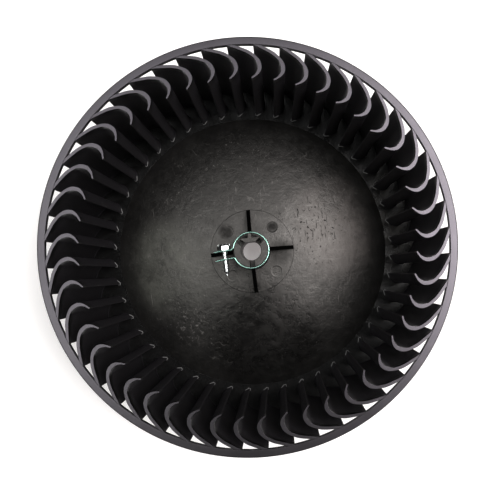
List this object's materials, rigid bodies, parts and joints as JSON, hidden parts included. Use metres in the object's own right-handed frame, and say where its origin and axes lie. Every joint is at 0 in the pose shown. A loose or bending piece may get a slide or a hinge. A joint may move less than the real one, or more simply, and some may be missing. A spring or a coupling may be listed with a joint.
{
  "type": "blower wheel",
  "caption": "Black moulded forward-curved blower wheel, open at one end, with a domed back disc and a split hub held by a spring clamp band and a hex head screw.",
  "frame": {"origin": "on the shaft's axis at the underside of the back disc, where the wheel rests", "axes": "+Z along the shaft's axis towards the open inlet, +X and +Y along two of the four gussets, the clamp's ears towards -X and the flat finger towards +Y"},
  "size_m": [0.2413, 0.2412, 0.1016],
  "materials": {
    "moulded_black": "satin black moulded polypropylene, lightly scuffed",
    "clamp_zinc": "spring steel strip, pale greenish zinc",
    "screw_zinc": "bright zinc plate"
  },
  "bodies": {
    "wheel": {"inlet_ring": "moulded_black", "back_disc": "moulded_black", "hub_boss": "moulded_black", "hub_gusset_1": "moulded_black", "hub_gusset_2": "moulded_black", "hub_gusset_3": "moulded_black", "hub_gusset_4": "moulded_black", "blade_01": "moulded_black", "blade_02": "moulded_black", "blade_03": "moulded_black", "blade_04": "moulded_black", "blade_05": "moulded_black", "blade_06": "moulded_black", "blade_07": "moulded_black", "blade_08": "moulded_black", "blade_09": "moulded_black", "blade_10": "moulded_black", "blade_11": "moulded_black", "blade_12": "moulded_black", "blade_13": "moulded_black", "blade_14": "moulded_black", "blade_15": "moulded_black", "blade_16": "moulded_black", "blade_17": "moulded_black", "blade_18": "moulded_black", "blade_19": "moulded_black", "blade_20": "moulded_black", "blade_21": "moulded_black", "blade_22": "moulded_black", "blade_23": "moulded_black", "blade_24": "moulded_black", "blade_25": "moulded_black", "blade_26": "moulded_black", "blade_27": "moulded_black", "blade_28": "moulded_black", "blade_29": "moulded_black", "blade_30": "moulded_black", "blade_31": "moulded_black", "blade_32": "moulded_black", "blade_33": "moulded_black", "blade_34": "moulded_black", "blade_35": "moulded_black", "blade_36": "moulded_black", "blade_37": "moulded_black", "blade_38": "moulded_black", "blade_39": "moulded_black", "blade_40": "moulded_black", "blade_41": "moulded_black", "blade_42": "moulded_black", "blade_43": "moulded_black", "blade_44": "moulded_black", "blade_45": "moulded_black", "blade_46": "moulded_black", "blade_47": "moulded_black", "blade_48": "moulded_black"},
    "clamp": {"clamp_band_head_side": "clamp_zinc"},
    "clamp_arm": {"clamp_band_thread_side": "clamp_zinc"},
    "screw": {"clamp_screw": "screw_zinc"}
  },
  "joints": [
    {"name": "clamp_lift", "type": "slide", "parent": "wheel", "child": "clamp", "axis": [0, 0, 1], "range_m": [0, 0.07]},
    {"name": "screw_turn", "type": "hinge", "parent": "clamp", "child": "screw", "pos_m": [-0.01761, 0.00135, 0.03965], "axis": [-0.0244, 0.9997, 0], "range_deg": [0, 390]},
    {"name": "clamp_spread", "type": "hinge", "parent": "clamp", "child": "clamp_arm", "pos_m": [0.01198, 0.00092, 0.03965], "axis": [0, 0, 1], "range_deg": [0, 5.6]}
  ],
  "couplings": [
    {"joint": "clamp_spread", "follows": "screw_turn", "ratio": 0.014063}
  ]
}
